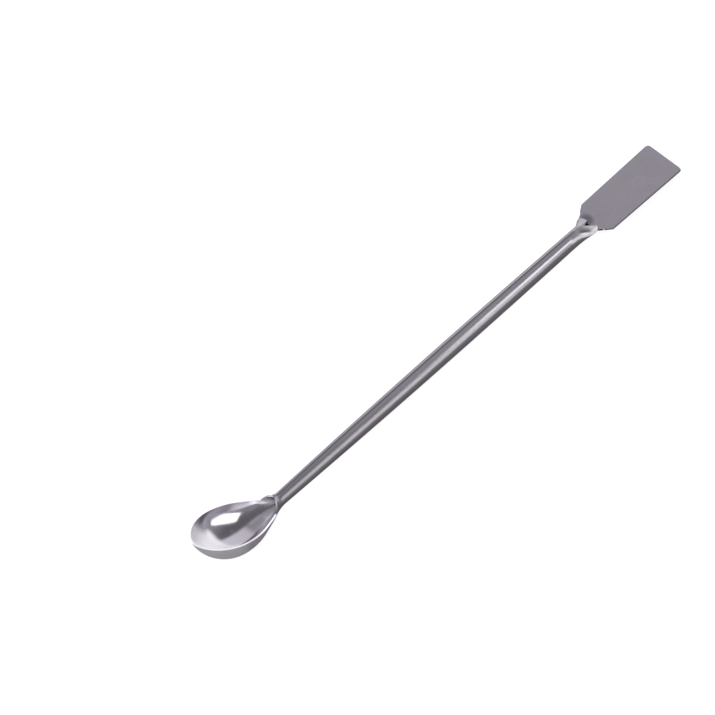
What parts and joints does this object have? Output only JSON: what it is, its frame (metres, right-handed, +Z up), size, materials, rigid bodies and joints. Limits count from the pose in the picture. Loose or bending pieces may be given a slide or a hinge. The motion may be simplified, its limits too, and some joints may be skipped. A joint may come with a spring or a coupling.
{
  "type": "laboratory spatula",
  "caption": "Stainless steel laboratory spatula, rolled from one sheet: a deep spoon bowl, a hollow tube handle with an open seam, and a flat square blade.",
  "frame": {"origin": "on the surface it lies on, below the middle of its bounding box", "axes": "+X along the handle from the spoon to the blade, +Y to the left of the handle, +Z up, out of the open side of the bowl"},
  "size_m": [0.1992, 0.0222, 0.0155],
  "materials": {
    "satin_steel": "satin handle and blade, polished bowl"
  },
  "bodies": {
    "root": {"spatula": "satin_steel"}
  },
  "joints": []
}
